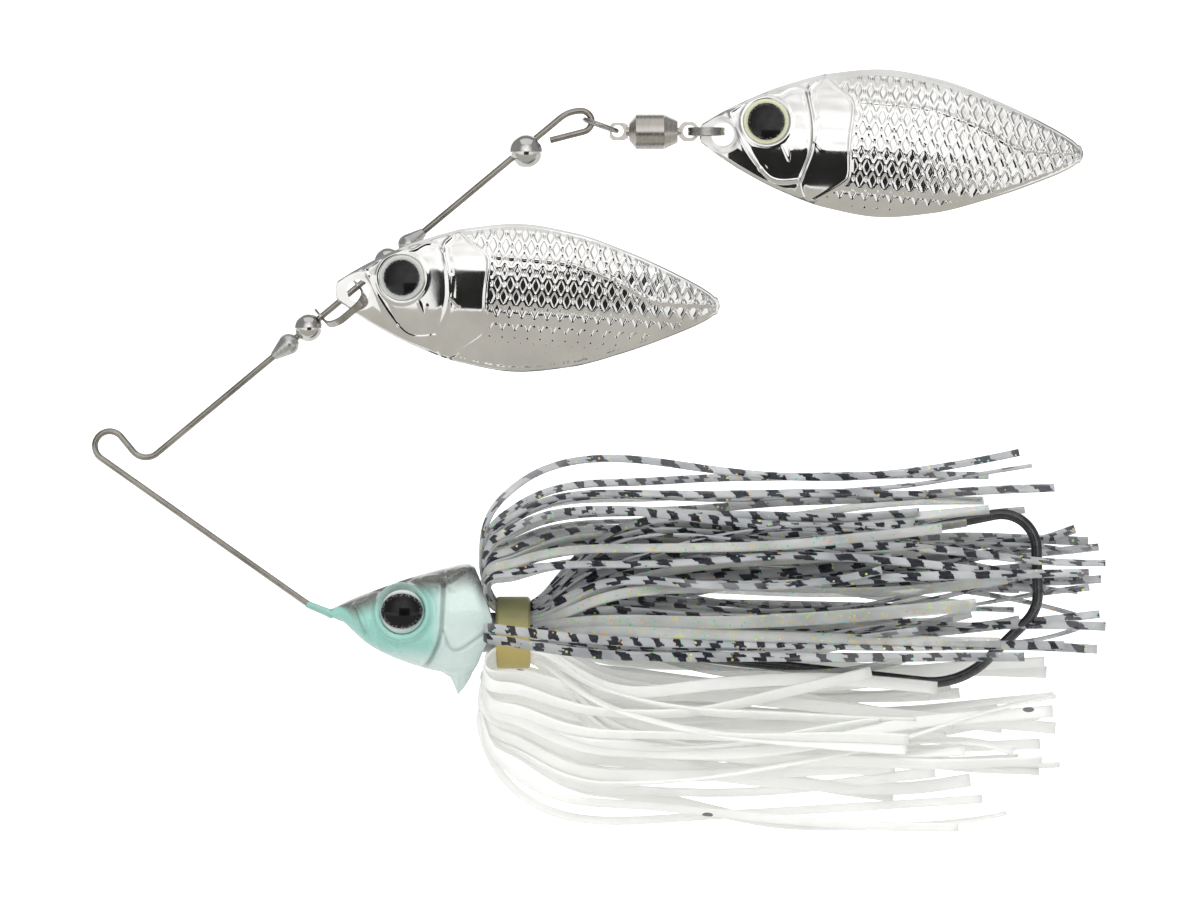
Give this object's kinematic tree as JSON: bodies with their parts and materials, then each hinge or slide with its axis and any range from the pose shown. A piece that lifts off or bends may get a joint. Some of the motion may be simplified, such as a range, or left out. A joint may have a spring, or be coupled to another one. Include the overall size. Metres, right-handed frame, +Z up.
{
  "type": "spinnerbait",
  "caption": "Fishing spinnerbait: bent wire with two willow blades on a clevis and a ball-bearing swivel, painted fish head on a single hook, and a silicone strand skirt.",
  "frame": {"origin": "centre of the open line-tie bend at the front of the wire", "axes": "+X to the rear (towards the hook and the skirt tips), +Z up (towards the blades), the wire and hook lie in Y = 0; the embossed side of the blades and the near side face -Y"},
  "size_m": [0.127, 0.0222, 0.093],
  "materials": {
    "wire_steel": "bright spring steel wire",
    "solder": "smooth solder drop",
    "bead_chrome": "polished",
    "lock_bead": "polished",
    "clevis_metal": "polished stamped strip",
    "blade_front": "mirror plated, embossed",
    "blade_rear": "mirror plated, embossed",
    "blade_eye_silver": "domed clear epoxy over a silver ring and black pupil",
    "blade_eye_yellow": "domed clear epoxy over a pale yellow ring and black pupil",
    "ring_steel": "bright wire",
    "swivel_nickel": "nickel plated",
    "ball_steel": "polished",
    "head_paint": "pearl mint gloss, dark olive back",
    "head_eye": "domed, silver iris and black pupil",
    "hook_black_nickel": "black nickel",
    "collar_rubber": "satin",
    "strand_barred": "translucent grey silicone with dark bars",
    "strand_clear": "clear silicone with glitter flakes",
    "strand_white": "translucent white silicone"
  },
  "bodies": {
    "frame": {"wire_form": "wire_steel", "lower_stopper": "solder", "upper_stopper": "solder", "head_casting": "head_paint", "head_eye_near": "head_eye", "head_eye_far": "head_eye", "hook": "hook_black_nickel", "skirt_collar": "collar_rubber", "skirt_barred_near": "strand_barred", "skirt_barred_far": "strand_barred", "skirt_clear_near": "strand_clear", "skirt_clear_far": "strand_clear", "skirt_white_near": "strand_white", "skirt_white_far": "strand_white"},
    "lower_bead": {"lower_bead": "bead_chrome"},
    "upper_bead": {"upper_bead": "bead_chrome"},
    "lock_bead": {"loop_lock_bead": "lock_bead"},
    "clevis": {"clevis": "clevis_metal"},
    "front_blade": {"front_blade": "blade_front", "front_blade_eye": "blade_eye_silver"},
    "link_ring": {"link_ring": "ring_steel"},
    "swivel": {"swivel_barrel": "swivel_nickel", "swivel_end_cap": "swivel_nickel", "swivel_fixed_eye": "swivel_nickel", "swivel_bearing_balls": "ball_steel"},
    "rotor": {"swivel_rotor": "swivel_nickel"},
    "split_ring": {"blade_split_ring": "ring_steel"},
    "rear_blade": {"rear_blade": "blade_rear", "rear_blade_eye": "blade_eye_yellow"}
  },
  "joints": [
    {"name": "lower_bead_spin", "type": "hinge", "parent": "frame", "child": "lower_bead", "pos_m": [0.02484, 0, 0.01481], "axis": [0.7688, 0, 0.6394], "continuous": true},
    {"name": "upper_bead_spin", "type": "hinge", "parent": "frame", "child": "upper_bead", "pos_m": [0.0348, 0, 0.02309], "axis": [0.7688, 0, 0.6394], "continuous": true},
    {"name": "lock_bead_slide", "type": "slide", "parent": "frame", "child": "lock_bead", "axis": [0.7688, 0, 0.6394], "range_m": [-0.0095, 0]},
    {"name": "clevis_spin", "type": "hinge", "parent": "frame", "child": "clevis", "pos_m": [0.02878, 0, 0.01809], "axis": [0.7688, 0, 0.6394], "continuous": true},
    {"name": "front_blade_swing", "type": "hinge", "parent": "clevis", "child": "front_blade", "pos_m": [0.03003, -0.0013, 0.01816], "axis": [0.5538, 0.5, -0.6658], "range_deg": [0, 34]},
    {"name": "link_ring_swing", "type": "hinge", "parent": "frame", "child": "link_ring", "pos_m": [0.05934, 0, 0.04081], "axis": [0, -1, 0], "range_deg": [-10, 40]},
    {"name": "swivel_swing", "type": "hinge", "parent": "link_ring", "child": "swivel", "pos_m": [0.06342, 0, 0.03936], "axis": [0, -1, 0], "range_deg": [-8, 25]},
    {"name": "swivel_spin", "type": "hinge", "parent": "swivel", "child": "rotor", "pos_m": [0.069, 0, 0.0393], "axis": [1, 0, 0], "continuous": true},
    {"name": "split_ring_swing", "type": "hinge", "parent": "rotor", "child": "split_ring", "pos_m": [0.07247, 0, 0.0393], "axis": [0, -1, 0], "range_deg": [-8, 25]},
    {"name": "rear_blade_swing", "type": "hinge", "parent": "split_ring", "child": "rear_blade", "pos_m": [0.0746, 0, 0.0393], "axis": [0, 0, 1], "range_deg": [-35, 5]}
  ]
}
